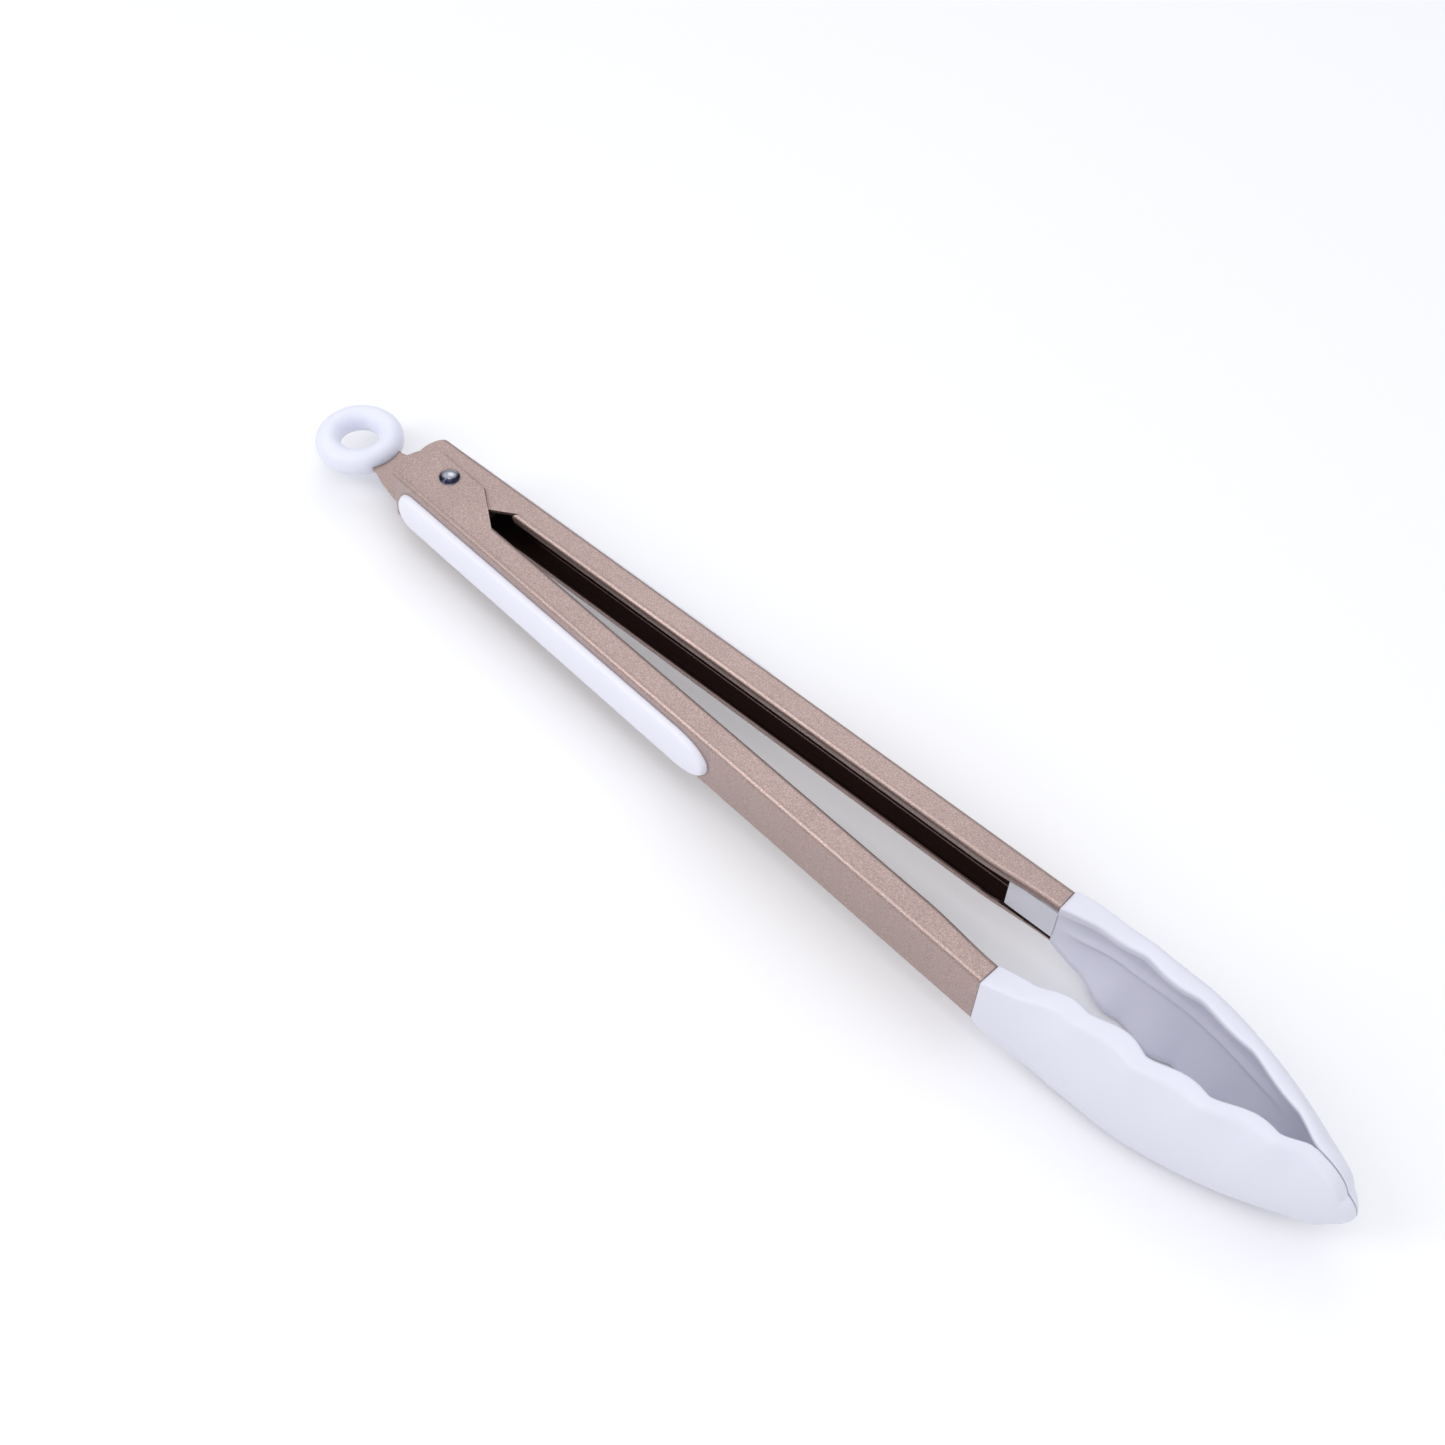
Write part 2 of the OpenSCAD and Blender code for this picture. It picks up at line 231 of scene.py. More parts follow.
def spread(material, factor, low, high):
    """Maps a factor of 0.3 to 0.7 to low to high."""
    node = material.node_tree.nodes.new("ShaderNodeMapRange")
    node.inputs["From Min"].default_value = 0.3
    node.inputs["From Max"].default_value = 0.7
    node.inputs["To Min"].default_value = low
    node.inputs["To Max"].default_value = high
    material.node_tree.links.new(factor, node.inputs["Value"])
    return node.outputs["Result"]


def bump(material, shader, factor, height, strength):
    """Adds a bump of a height in metres before the bumps already there."""
    node = material.node_tree.nodes.new("ShaderNodeBump")
    links = material.node_tree.links
    node.inputs["Strength"].default_value = strength
    node.inputs["Distance"].default_value = height
    links.new(factor, node.inputs["Height"])
    if shader.inputs["Normal"].is_linked:
        links.new(shader.inputs["Normal"].links[0].from_socket, node.inputs["Normal"])
    links.new(node.outputs["Normal"], shader.inputs["Normal"])


def tint(color, share):
    return tuple(min(1.0, c * share) for c in color)


def value_math(material, operation, first, second=None):
    """Math node on sockets or numbers."""
    node = material.node_tree.nodes.new("ShaderNodeMath")
    node.operation = operation
    for socket, value in zip(node.inputs, (first, second)):
        if isinstance(value, bpy.types.NodeSocket):
            material.node_tree.links.new(value, socket)
        elif value is not None:
            socket.default_value = value
    return node.outputs["Value"]


def channel_shade_mask(material):
    """Mask of painted shade: 1 on faces that look into an arm's channel, 0 on its outer faces."""
    nodes = material.node_tree.nodes
    links = material.node_tree.links
    coordinate = nodes.new("ShaderNodeTexCoord")
    place = nodes.new("ShaderNodeSeparateXYZ")
    normal = nodes.new("ShaderNodeSeparateXYZ")
    links.new(coordinate.outputs["Object"], place.inputs["Vector"])
    links.new(coordinate.outputs["Normal"], normal.inputs["Vector"])
    side = value_math(material, "SIGN", place.outputs["Y"])
    reach = value_math(material, "MULTIPLY", place.outputs["Y"], side)
    ahead = value_math(material, "SUBTRACT", place.outputs["X"], pivot.x)
    middle = value_math(material, "MULTIPLY_ADD", ahead, sin(CLOSED))
    middle.node.inputs[2].default_value = (WEB_REACH - CHANNEL_DEPTH / 2) * MM
    off_y = value_math(material, "SUBTRACT", reach, middle)
    off_z = value_math(material, "SUBTRACT", place.outputs["Z"], pivot.z)
    out_y = value_math(material, "MULTIPLY", normal.outputs["Y"], side)
    along_y = value_math(material, "MULTIPLY", off_y, out_y)
    along_z = value_math(material, "MULTIPLY", off_z, normal.outputs["Z"])
    outward = value_math(material, "ADD", along_y, along_z)
    return value_math(material, "LESS_THAN", outward, 0.0)


def shade_color(material, color, factor, dark):
    """Colour multiplied by dark where the factor is 1, and kept where it is 0."""
    node = material.node_tree.nodes.new("ShaderNodeMix")
    node.data_type = "RGBA"
    node.blend_type = "MULTIPLY"
    links = material.node_tree.links
    links.new(factor, node.inputs["Factor"])
    links.new(color, node.inputs["A"])
    node.inputs["B"].default_value = (*dark, 1)
    return node.outputs["Result"]


def crevice_shade(material, reach):
    """Painted shade: 1 deep in corners and beside edges that stand reach metres proud, 0 in the open."""
    node = material.node_tree.nodes.new("ShaderNodeAmbientOcclusion")
    node.samples = 8
    node.inputs["Distance"].default_value = reach
    return value_math(material, "SUBTRACT", 1.0, node.outputs["AO"])


def champagne_paint(name, channel):
    """Metallic paint, with painted shade darkening the inside of an arm's channel and painted shade in its
    crevices.
    """
    base = (0.39, 0.289, 0.265)
    material, shader, place = new_material(name, base, 0.34, 0.78)
    links = material.node_tree.links
    flakes = noise(material, place, 0.00022, 1.0)
    color = ramp(material, flakes, [
        (0.30, tint(base, 0.72)),
        (0.50, base),
        (0.72, tint(base, 1.38)),
    ])
    if channel:
        # painted shade: the paint is darkened inside the channel, where shadow falls
        color = shade_color(material, color, channel_shade_mask(material), (0.18, 0.12, 0.12))
    # painted shade darkening the paint in corners and beside raised edges
    color = shade_color(material, color, crevice_shade(material, 0.0012), (0.22, 0.17, 0.17))
    links.new(color, shader.inputs["Base Color"])
    shader.inputs["Coat Weight"].default_value = 0.35
    shader.inputs["Coat Roughness"].default_value = 0.3
    clouds = noise(material, place, 0.012, 3.0)
    links.new(spread(material, clouds, 0.33, 0.40), shader.inputs["Roughness"])
    bump(material, shader, flakes, 0.00002, 0.35)
    return material


def silicone_white(name, base):
    material, shader, place = new_material(name, base, 0.5)
    links = material.node_tree.links
    shader.inputs["Subsurface Weight"].default_value = 0.12
    shader.inputs["Subsurface Radius"].default_value = (1.0, 0.9, 0.9)
    shader.inputs["Subsurface Scale"].default_value = 0.0015
    clouds = noise(material, place, 0.02, 3.0)
    color = ramp(material, clouds, [(0.3, tint(base, 0.985)), (0.7, tint(base, 1.01))])
    links.new(color, shader.inputs["Base Color"])
    links.new(spread(material, clouds, 0.46, 0.56), shader.inputs["Roughness"])
    bump(material, shader, noise(material, place, 0.00035, 2.0), 0.000012, 0.5)
    return material


def silicone_ring():
    base = (0.77, 0.78, 0.88)
    material, shader, place = new_material("silicone_ring", base, 0.42)
    links = material.node_tree.links
    shader.inputs["Subsurface Weight"].default_value = 0.6
    shader.inputs["Subsurface Radius"].default_value = (1.0, 1.0, 1.0)
    shader.inputs["Subsurface Scale"].default_value = 0.003
    clouds = noise(material, place, 0.008, 2.0)
    color = ramp(material, clouds, [(0.3, tint(base, 0.98)), (0.7, tint(base, 1.02))])
    links.new(color, shader.inputs["Base Color"])
    bump(material, shader, noise(material, place, 0.0004, 2.0), 0.00001, 0.4)
    return material


def nylon_white():
    base = (0.74, 0.74, 0.80)
    material, shader, place = new_material("nylon_white", base, 0.42)
    links = material.node_tree.links
    clouds = noise(material, place, 0.006, 3.0)
    color = ramp(material, clouds, [(0.3, tint(base, 0.96)), (0.7, base)])
    links.new(color, shader.inputs["Base Color"])
    bump(material, shader, noise(material, place, 0.0005, 2.0), 0.00001, 0.4)
    return material


def rivet_chrome():
    """Polished steel with a painted dark reflection round the foot of the dome."""
    base = (0.50, 0.51, 0.58)
    material, shader, place = new_material("rivet_chrome", base, 0.06, 1.0)
    nodes = material.node_tree.nodes
    links = material.node_tree.links
    scuffs = noise(material, place, 0.0008, 3.0)
    color = ramp(material, scuffs, [(0.35, tint(base, 0.93)), (0.6, base)])
    surface = nodes.new("ShaderNodeTexCoord")
    lean = nodes.new("ShaderNodeVectorMath")
    lean.operation = "DOT_PRODUCT"
    lean.inputs[1].default_value = (-0.12, 0.10, 0.99)
    links.new(surface.outputs["Normal"], lean.inputs[0])
    # painted dark reflection: darkens the dome where its surface tilts away from upright
    painted_dark_rim = nodes.new("ShaderNodeMapRange")
    painted_dark_rim.interpolation_type = "SMOOTHSTEP"
    for name, value in (("From Min", 0.74), ("From Max", 0.90), ("To Min", 1.0), ("To Max", 0.0)):
        painted_dark_rim.inputs[name].default_value = value
    links.new(value_math(material, "ABSOLUTE", lean.outputs["Value"]), painted_dark_rim.inputs["Value"])
    color = shade_color(material, color, painted_dark_rim.outputs["Result"], (0.06, 0.06, 0.09))
    links.new(color, shader.inputs["Base Color"])
    links.new(spread(material, scuffs, 0.04, 0.09), shader.inputs["Roughness"])
    return material


def spring_steel():
    base = (0.45, 0.45, 0.47)
    material, shader, place = new_material("spring_steel", base, 0.3, 1.0)
    links = material.node_tree.links
    drawn = noise(material, place, 0.0006, 3.0, (0.3, 0.3, 1))
    color = ramp(material, drawn, [(0.3, tint(base, 0.8)), (0.7, base)])
    links.new(color, shader.inputs["Base Color"])
    links.new(spread(material, drawn, 0.24, 0.38), shader.inputs["Roughness"])
    return material


def floor_white():
    base = (0.93, 0.93, 0.94)
    material, shader, place = new_material("floor_white", base, 0.7)
    clouds = noise(material, place, 0.2, 2.0)
    color = ramp(material, clouds, [(0.3, tint(base, 0.995)), (0.7, base)])
    material.node_tree.links.new(color, shader.inputs["Base Color"])
    return material


PAINT = champagne_paint("champagne_paint", True)
PLATE_PAINT = champagne_paint("champagne_plate", False)
SILICONE = silicone_white("silicone_white", (0.745, 0.745, 0.835))
PAD_SILICONE = silicone_white("silicone_pad", (0.83, 0.83, 0.92))
RING = silicone_ring()
NYLON = nylon_white()
CHROME = rivet_chrome()
STEEL = spring_steel()


# ---------------------------------------------------------------------- arms

class Sheet:
    """Middle surface of a bent sheet, given thickness and round edges."""

    def __init__(self):
        self.points = []
        self.normals = []
        self.faces = []

    def add(self, point, normal):
        self.points.append(np.array(point, float))
        self.normals.append(np.array(normal, float))
        return len(self.points) - 1

    def rows(self, first, second, flip):
        """Quads between two rows of points."""
        for k in range(len(first) - 1):
            self.face([first[k], first[k + 1], second[k + 1], second[k]], flip)

    def face(self, corners, flip):
        self.faces.append(corners[::-1] if flip else corners)

    def solid(self, thickness, edge_round):
        """Points and faces of the closed solid."""
        count = len(self.points)
        mesh = bmesh.new()
        for share in (0.5, -0.5):
            for point, normal in zip(self.points, self.normals):
                mesh.verts.new(point + share * thickness * normal)
        mesh.verts.ensure_lookup_table()
        used = set()
        for face in self.faces:
            used.update(zip(face, face[1:] + face[:1]))
            mesh.faces.new([mesh.verts[i] for i in face])
            mesh.faces.new([mesh.verts[i + count] for i in reversed(face)])
        rim_edges = []
        for a, b in sorted(used):
            if (b, a) not in used:
                side = [mesh.verts[i] for i in (b, a, a + count, b + count)]
                mesh.faces.new(side)
                rim_edges += [mesh.edges.get(side[:2]), mesh.edges.get(side[2:])]
        bmesh.ops.bevel(mesh, geom=rim_edges, offset=edge_round, offset_type="OFFSET",
                        segments=3, profile=0.5, affect="EDGES", clamp_overlap=False)
        bmesh.ops.dissolve_degenerate(mesh, dist=0.001, edges=mesh.edges)
        mesh.verts.index_update()
        points = [tuple(v.co) for v in mesh.verts]
        faces = [tuple(v.index for v in face.verts) for face in mesh.faces]
        mesh.free()
        return points, faces


def ear_rear(y):
    return EAR_CENTRE[0] - sqrt(EAR_RADIUS ** 2 - (y - EAR_CENTRE[1]) ** 2)


def arm_sheet(half):
    """Channel with ears at its rear and lips along its open side."""
    sheet = Sheet()
    radius = BEND - SHEET / 2
    steps = 8
    web_rows = {}
    for up in (1, -1):
        flip = up < 0

        def add(x, y, z, normal_y, normal_z):
            return sheet.add((x, y, up * z), (0, normal_y, up * normal_z))

        flat = half - SHEET / 2
        web_bend = []
        for k in range(steps + 1):
            angle = pi / 2 * k / steps
            y = BEND - WEB_REACH - radius * sin(angle)
            z = half - BEND + radius * cos(angle)
            outside = BEND - WEB_REACH - BEND * sin(angle)
            row = [add(x, y, z, -sin(angle), cos(angle)) for x in (ear_rear(outside), ARM_LENGTH)]
            web_bend.append(row)
        lip_bend = []
        stations = [*np.linspace(*LIP_TAPER, 9), ARM_LENGTH]
        runout = [smooth((x - LIP_TAPER[0]) / (LIP_TAPER[1] - LIP_TAPER[0])) for x in stations]
        edges = [mix(LIP_EDGE, END_EDGE, share) for share in runout]
        for k in range(steps + 1):
            angle = pi / 2 * k / steps
            z = half - BEND + radius * cos(angle)
            back_off = BEND - radius * sin(angle)
            first_x = EAR_END + EAR_LEAN * back_off
            row = [add(first_x, LIP_EDGE - back_off, z, sin(angle), cos(angle))]
            for x, edge in zip(stations, edges):
                row.append(add(x, edge - back_off, z, sin(angle), cos(angle)))
            lip_bend.append(row)
        row = [add(EAR_END + BEND, LIP_EDGE - SHEET / 2, half - LIP_HEIGHTS[0], 1, 0)]
        row += [
            add(x, edge - SHEET / 2, half - mix(*LIP_HEIGHTS, share), 1, 0)
            for x, edge, share in zip(stations, edges, runout)
        ]
        lip_bend.append(row)
        turn = [EAR_CENTRE[1] + EAR_RADIUS * sin(radians(a)) for a in range(-25, 60, 5)]
        rear = [add(ear_rear(y), y, flat, 0, 1) for y in turn if y < EAR_REACH]
        top = acos((EAR_REACH - EAR_CENTRE[1]) / EAR_RADIUS)
        corner_x = EAR_CENTRE[0] - EAR_RADIUS * sin(top)
        ear = [add(x, EAR_REACH, flat, 0, 1) for x in (corner_x, EAR_FRONT)]
        outline = web_bend[0][::-1] + rear + ear + lip_bend[0]
        sheet.face(outline, not flip)
        for first, second in zip(web_bend, web_bend[1:]):
            sheet.rows(first, second, not flip)
        for first, second in zip(lip_bend, lip_bend[1:]):
            sheet.rows(first, second, flip)
        web_rows[up] = web_bend[-1]
    sheet.rows(web_rows[1], web_rows[-1], True)
    return sheet


def even_out_normals(piece):
    """Lets each large flat face keep its own normal right up to its edges."""
    modifier = piece.modifiers.new("flat faces", "WEIGHTED_NORMAL")
    modifier.weight = 100
    modifier.keep_sharp = True
    graph = bpy.context.evaluated_depsgraph_get()
    mesh = bpy.data.meshes.new_from_object(piece.evaluated_get(graph))
    piece.modifiers.clear()
    piece.data = mesh


def build_arm(side):
    points, faces = arm_sheet(ARM_HALF_HEIGHT[side]).solid(SHEET, EDGE_ROUND)
    body = side + "_arm"
    place = arm_place(side)
    piece = add_piece(side + "_channel", points, faces, place, PAINT, body, 50)
    even_out_normals(piece)
    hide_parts(body)


# --------------------------------------------------------------------- rivet

def build_rivet():
    """Domed rivet head on each side, joined by the shank."""
    ball = (RIVET_RADIUS ** 2 + RIVET_HEIGHT ** 2) / (2 * RIVET_HEIGHT)
    edge_angle = acos((ball - RIVET_HEIGHT) / ball)
    foot = ARM_HALF_HEIGHT["outer"]
    profile = [(0.02, foot + RIVET_HEIGHT)]
    for k in range(1, 14):
        angle = edge_angle * k / 14
        profile.append((ball * sin(angle), foot + RIVET_HEIGHT - ball * (1 - cos(angle))))
    profile.append((RIVET_RADIUS, foot + 0.12))
    profile.append((RIVET_RADIUS - 0.08, foot + 0.03))
    profile.append((SHANK_RADIUS, foot + 0.02))
    profile += [(radius, -z) for radius, z in reversed(profile)]
    around = [2 * pi * k / 64 for k in range(64)]
    rings = [[(radius * cos(a), radius * sin(a), z) for a in around] for radius, z in profile]
    points, faces = loft(rings)
    faces = [face[::-1] for face in faces]
    place = Matrix.Translation(pivot)
    piece = add_piece("rivet", points, faces, place, CHROME, "outer_arm", 50)
    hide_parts("pivot_rivet")


# --------------------------------------------------------------------- heads

# u runs from 0 at a head's root to 1 at its tip.

# Outline seen along the jaws
SIDE_FLARE = 0.27
FLARE_POWER = 1.25
SIDE_TAPER = (0.36, 0.958)
SIDE_POWERS = (3.3, 0.3)
BEAK = 6.0
BEAK_START = 0.6
BEAK_POWER = 5

# Back and rim
BOW_START = 0.38
BOW_POWERS = (1.41, 0.714)
RIM_LINE = -0.42
RIM_SETTLE = 0.4
RIM_RISE = (0.423, 0.846)
RIM_POWER = 1.45
SCALLOP_HEIGHT = 1.77
SCALLOP_PITCH = 13.95
SCALLOP_SKEW = 1.26
FIRST_NOTCH = 205.96
TOP_WAVE = {"outer": 1.0, "inner": 0.45}
FOLD_WAVE = {"outer": 0.85, "inner": 0.0}

# Section: pairs are near the root and near the tip
CAVITY_END = 0.955
WALL = 3.0
RIM = (2.4, 1.4)
RIM_ROUND = (0.8, 1.2)
BAND = (4.2, 2.6)
BAND_SHARE = 0.62
FOLD_INSET = 0.35
FOLD_ROUND = 1.7
BACK_POWER = 2.3
FLOOR_POWERS = (4.0, 1.9)
RIDGE_HEIGHT = 0.9
RIDGE_FALL = 0.7


def head_x(u):
    return ARM_LENGTH + u * HEAD_LENGTH


def contact(u):
    """Height at which the two closed heads meet."""
    return (head_x(u) * sin(CLOSED) - TIP_GAP) / cos(CLOSED)


def half_width(u, root):
    """Flares from the root, tapers in a long curve and ends in a round beak."""
    flare = 1 - (1 - min(1.0, u / SIDE_FLARE)) ** FLARE_POWER
    start, end = SIDE_TAPER
    v = max(0.0, u - start) / (end - start)
    taper = max(0.0, 1 - v ** SIDE_POWERS[0]) ** SIDE_POWERS[1]
    body = mix(root, HEAD_HALF_WIDTH, flare) * taper
    if u < BEAK_START:
        return body
    ahead = max(0.0, (u - 1) * HEAD_LENGTH + BEAK)
    beak = sqrt(BEAK ** 2 - ahead ** 2)
    return min(HEAD_HALF_WIDTH, (body ** BEAK_POWER + beak ** BEAK_POWER) ** (1 / BEAK_POWER))


def back(u):
    v = max(0.0, u - BOW_START) / (1 - BOW_START)
    return mix(-WEB_REACH, contact(u), 1 - (1 - v ** BOW_POWERS[0]) ** BOW_POWERS[1])


def scallop(u):
    """Waves that climb slowly and fall quickly towards the tip."""
    fade = smooth((u - 0.06) / 0.1) * smooth((RIM_RISE[1] - u) / 0.03)
    share = (head_x(u) - FIRST_NOTCH) / SCALLOP_PITCH % 1
    wave = sin(pi * share ** SCALLOP_SKEW)
    return SCALLOP_HEIGHT * fade * ((wave * wave + 0.02) ** 0.5 - 0.6)


def rim(u, wave):
    rise = max(0.0, (u - RIM_RISE[0]) / (RIM_RISE[1] - RIM_RISE[0])) ** RIM_POWER
    base = mix(END_EDGE, RIM_LINE, smooth(u / RIM_SETTLE))
    line = mix(base, contact(u), min(1.0, rise))
    return min(contact(u), line + wave * scallop(u))


def head_half(u, root, wave, fold_wave):
    """Half a cross-section [y, z] of a head, round from its floor to its back."""
    w = half_width(u, root)
    y_rim, y_back = rim(u, wave), back(u)
    depth = y_rim - y_back

    # Fold between the band along the rim and the back
    y_calm = rim(u, 0.0)
    calm_depth = y_calm - y_back
    band = mix(END_DEPTH, mix(*BAND, smooth((u - 0.3) / 0.6)), smooth(u / 0.22))
    band = min(band, (BAND_SHARE + 10 * max(0.0, 0.2 - u)) * calm_depth)
    y_fold = max(y_back, y_calm + fold_wave * scallop(u) - band)
    w_fold = w - FOLD_INSET * smooth(u / 0.2)

    # Hollow, with a ridge along its floor, that closes up before the tip
    w_in = max(0.45 * w, w - mix(*RIM, smooth((u - 0.2) / 0.5)))
    left = smooth((CAVITY_END - u) / 0.16)
    floor = mix(y_calm - 0.02, mix(END_EDGE - 0.3, y_back + WALL, smooth(u / 0.18)), left)
    floor = min(y_calm - 0.02, y_rim - 0.02, floor)
    slope = mix(*FLOOR_POWERS, smooth(u / 0.25))
    ridge = RIDGE_HEIGHT * smooth((u - 0.02) / 0.1) * smooth((0.80 - u) / 0.2)

    # Roundings of the rim and the fold
    nose = mix(1.0, 0.35, smooth((u - 0.82) / 0.08))
    round_rim = min(nose * mix(*RIM_ROUND, smooth(u / 0.2)), 0.45 * depth)
    round_fold = mix(BEND, FOLD_ROUND, smooth(u / 0.25))
    fold_start = round_fold + wave * (scallop(u) + 0.3)

    def inner(share):
        z = share * w_in
        rise = (y_rim - floor) * share ** slope
        return (floor + rise + ridge * exp(-RIDGE_FALL * z * z), z)

    def outer(share):
        z = share * w_fold
        return (mix(y_back, y_fold, share ** BACK_POWER), z)

    half = [inner((k / 15) ** 1.25) for k in range(15)]
    half += bend_corner(half[-1], (y_rim, w_in), (y_rim, w), 0.6, 5)
    half += bend_corner((y_rim, w_in), (y_rim, w), (y_fold, w_fold), round_rim, 6)
    shoulder = outer(0.86)
    half += bend_corner((y_rim, w), (y_fold, w_fold), shoulder, round_fold, 8, fold_start)
    half += [outer(0.84 * k / 10) for k in range(10, -1, -1)]
    return half


def head_ring(u, side):
    """One cross-section [y, z] of a head, round from the floor to the floor."""
    root = ARM_HALF_HEIGHT[side]
    top = head_half(u, root, TOP_WAVE[side], FOLD_WAVE[side])
    bottom = head_half(u, root, 1.0, 0.0)
    return top + [(y, -z) for y, z in bottom[-2:0:-1]]


def build_head(side):
    """Silicone scoop with a scalloped rim."""
    steps = 150
    rings = []
    middle = (END_EDGE - WEB_REACH) / 2
    for ahead, scale in ((0.0, 0.955), (0.12, 0.985)):
        first = head_ring(0.0, side)
        rings.append([
            (ARM_LENGTH + ahead, middle + scale * (y - middle), scale * z) for y, z in first
        ])
    for i in range(steps + 1):
        u = 0.004 + 0.9955 * (1 - (1 - i / steps) ** 1.6)
        rings.append([(head_x(u), y, z) for y, z in head_ring(u, side)])
    points, faces = loft(rings)
    faces = [face[::-1] for face in faces]
    body = side + "_arm"
    piece = add_piece(side + "_scoop", points, faces, arm_place(side), SILICONE, body)
    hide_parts(side + "_head")


# --------------------------------------------------------------------- grips

def grip_ring(inset, y):
    """Outline of a grip's section, its ends drawn out into long curves."""
    ring = []
    for i in range(96):
        angle = 2 * pi * i / 96
        front = cos(angle) > 0
        half = GRIP_HALF[front] - inset
        end = GRIP_ENDS[front]
        middle = GRIP_FRONT - end if front else GRIP_REAR + end
        along = copysign(abs(cos(angle)) ** GRIP_SQUARENESS, cos(angle))
        across = copysign(abs(sin(angle)) ** GRIP_SQUARENESS, sin(angle))
        x = middle + along * (end - inset)
        z = across * half
        ring.append((x, y, z - GRIP_DROP))
    return ring


def build_grip(side):
    """Softly crowned pad with drawn-out ends on an arm's web."""
    rings = [grip_ring(0, -WEB_REACH)]
    for inset in (0, 0.03, 0.12, 0.28, 0.5, 0.8, 1.2, 1.7, 2.3, 3.0, 3.8, 4.6, 5.2):
        edge = 1 - (1 - min(1.0, inset / 0.9)) ** 2.2
        crown = 1 - (1 - inset / GRIP_HALF[0]) ** 2.6
        height = mix(GRIP_STEP, GRIP_PROUD, 0.6 * edge + 0.4 * crown)
        rings.append(grip_ring(inset, -WEB_REACH - height))
    points, faces = loft(rings)
    body = side + "_arm"
    piece = add_piece(side + "_pad", points, faces, arm_place(side), PAD_SILICONE, body)
    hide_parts(side + "_grip")


# ---------------------------------------------------------------------- ring

def build_ring():
    """Soft round ring at the end of the lock plate."""
    low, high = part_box("pull_ring")
    centre = (low + high) / 2
    outside = (high.y - low.y) / 2 / MM
    tube = (high.z - low.z) / 2 / MM
    hole = next(m["dims"]["r_mm"] for m in frame["record"]["mounts"] if m["name"] == "hanging_hole")
    half = (outside - hole) / 2
    rings = []
    for i in range(96):
        angle = 2 * pi * i / 96
        ring = []
        for k in range(40):
            a = 2 * pi * k / 40
            radius = hole + half + half * cos(a)
            ring.append((radius * cos(angle), radius * sin(angle), tube * sin(a)))
        rings.append(ring)
    points, faces = loft(rings, closed=True)
    place = Matrix.Translation(centre)
    piece = add_piece("hanging_ring", points, faces, place, RING, "lock_tab")
    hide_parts("pull_ring")


# -------------------------------------------------------------------- spring

def wire_tube(path, radius, sides=14):
    """Round wire through points in millimetres."""
    rings = []
    for i, point in enumerate(path):
        along = Vector(path[min(i + 1, len(path) - 1)]) - Vector(path[max(i - 1, 0)])
        side = Vector((0, 0, 1)).cross(along).normalized()
        up = along.normalized().cross(side)
        ring = []
        for k in range(sides):
            angle = 2 * pi * k / sides
            ring.append(Vector(point) + radius * (cos(angle) * side + sin(angle) * up))
        rings.append(ring)
    points, faces = loft(rings)
    return points, faces


def build_spring():
    """Coil that turns half as far as the inner arm, and a leg on each arm."""
    low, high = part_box("torsion_spring")
    start = low.z / MM - pivot.z / MM + WIRE
    end = high.z / MM - pivot.z / MM - WIRE
    wall = (WEB_REACH - SHEET) / cos(CLOSED) + LEG_REACH * tan(CLOSED)
    leg_side = wall - WIRE - LEG_GAP
    leg_angle = atan2(leg_side, LEG_REACH) + acos(COIL_RADIUS / hypot(LEG_REACH, leg_side))
    sweep = 8 * pi + 2 * (pi - leg_angle)

    def coil(angle):
        turned = -leg_angle - angle
        rise = mix(start, end, angle / sweep)
        return (COIL_RADIUS * cos(turned), COIL_RADIUS * sin(turned), rise)

    place = Matrix.Translation(pivot)
    turns = [coil(sweep * i / 160) for i in range(161)]
    points, faces = wire_tube(turns, WIRE)
    piece = add_piece("spring_coil", points, faces, place, STEEL, "spring")
    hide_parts("torsion_spring")
    laps = [COIL_LAP * i / 8 for i in range(9)]
    legs = (
        ("outer", [(LEG_REACH, -leg_side, start)] + [coil(lap) for lap in laps]),
        ("inner", [(LEG_REACH, leg_side, end)] + [coil(sweep - lap) for lap in laps]),
    )
    for side, path in legs:
        points, faces = wire_tube(path, WIRE * 0.98)
        add_piece(side + "_spring_leg", points, faces, place, STEEL, side + "_arm")


# ----------------------------------------------------------- CAD nodes kept

KEPT = {
    "lock_plate": PLATE_PAINT, "pivot_sleeve": NYLON,
    "outer_head_core": NYLON, "inner_head_core": NYLON,
}


def dress_cad_nodes():
    for name, material in KEPT.items():
        mesh = frame["nodes"][name].data
        mesh.materials.clear()
        mesh.materials.append(material)


# ------------------------------------------------------------ stage and view

def build_floor():
    size = 3.0
    mesh = bpy.data.meshes.new("floor")
    corners = [(-size, -size, 0), (size, -size, 0), (size, size, 0), (-size, size, 0)]
    mesh.from_pydata(corners, [], [(0, 1, 2, 3)])
    mesh.materials.append(floor_white())
    floor = bpy.data.objects.new("floor", mesh)
    floor.location.z = cad_box[0].z - 0.0002
    bpy.context.scene.collection.objects.link(floor)


def add_light(name, place, target, size, power, color=(1, 1, 1)):
    """Soft box of a width and height, aimed at a point."""
    light = bpy.data.lights.new(name, "AREA")
    light.shape = "RECTANGLE"
    light.size, light.size_y = size
    light.energy = power
    light.color = color
    lamp = bpy.data.objects.new(name, light)
    lamp.location = place
    aim = Vector(target) - Vector(place)
    lamp.rotation_euler = aim.to_track_quat("-Z", "Y").to_euler()
    bpy.context.scene.collection.objects.link(lamp)


SKY_LEVELS = ((0.0, 0.32), (0.78, 0.95))


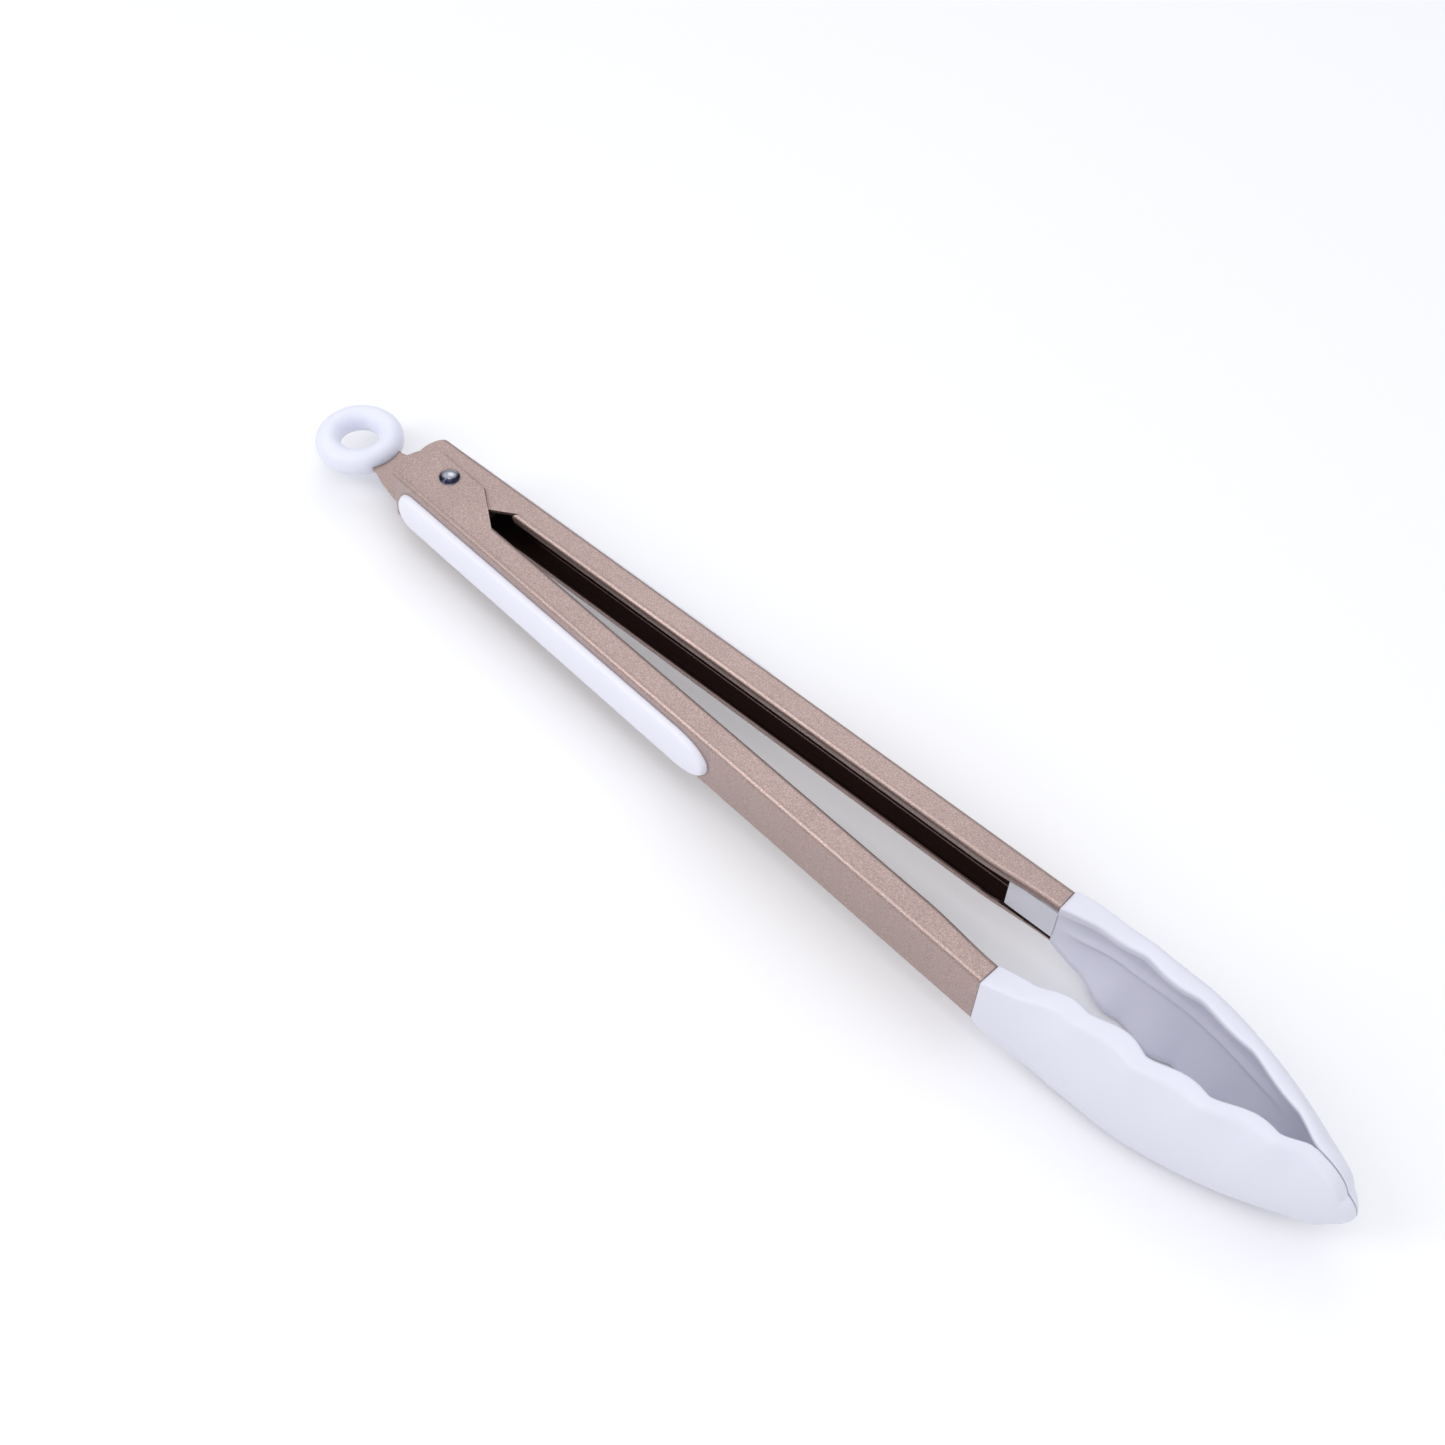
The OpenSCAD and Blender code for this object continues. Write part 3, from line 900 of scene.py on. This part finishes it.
def build_sky():
    """White studio tent, darker towards the horizon."""
    world = bpy.data.worlds.new("studio")
    world.use_nodes = True
    nodes = world.node_tree.nodes
    links = world.node_tree.links
    place = nodes.new("ShaderNodeTexCoord")
    split = nodes.new("ShaderNodeSeparateXYZ")
    shade = nodes.new("ShaderNodeValToRGB")
    shade.color_ramp.interpolation = "EASE"
    for element, (height, level) in zip(shade.color_ramp.elements, SKY_LEVELS):
        element.position = height
        element.color = (0.95 * level, 0.96 * level, level, 1)
    links.new(place.outputs["Generated"], split.inputs["Vector"])
    links.new(split.outputs["Z"], shade.inputs["Fac"])
    background = nodes["Background"]
    links.new(shade.outputs["Color"], background.inputs["Color"])
    bpy.context.scene.world = world
    bpy.context.scene.view_settings.view_transform = "Standard"


def build_lights():
    add_light("top", (0.18, -0.32, 1.12), (0, 0, 0), (0.7, 0.7), 2.0)
    add_light("back", (-0.49, 0.54, 0.95), (0, 0, 0), (0.7, 0.7), 1.0)
    add_light("front", (-0.45, -0.73, 0.67), (0, 0, 0), (0.34, 0.8), 2.5, (1, 0.99, 0.97))
    add_light("right", (0.95, -0.25, 0.4), (0, 0, 0), (0.4, 0.4), 0.6)


def build_camera():
    """Camera at the photograph's viewing angle."""
    down, heading, roll = radians(52.53), radians(131.76), radians(3.22)
    ahead = Vector((cos(down) * cos(heading), cos(down) * sin(heading), -sin(down)))
    level = ahead.cross(Vector((0, 0, 1))).normalized()
    lift = level.cross(ahead)
    right = cos(roll) * level + sin(roll) * lift
    up = -sin(roll) * level + cos(roll) * lift
    data = bpy.data.cameras.new("camera")
    data.sensor_width = 36
    data.lens = 48.03
    data.clip_start = 0.01
    camera = bpy.data.objects.new("camera", data)
    turn = Matrix((right, up, -ahead)).transposed().to_4x4()
    camera.matrix_world = Matrix.Translation(pivot + Vector((0.2762, -0.20299, 0.3521))) @ turn
    bpy.context.scene.collection.objects.link(camera)
    bpy.context.scene.camera = camera


build_camera()
build_floor()
build_sky()
build_lights()
dress_cad_nodes()
build_rivet()
for side in SIDES:
    build_arm(side)
    build_head(side)
    build_grip(side)
build_ring()
build_spring()
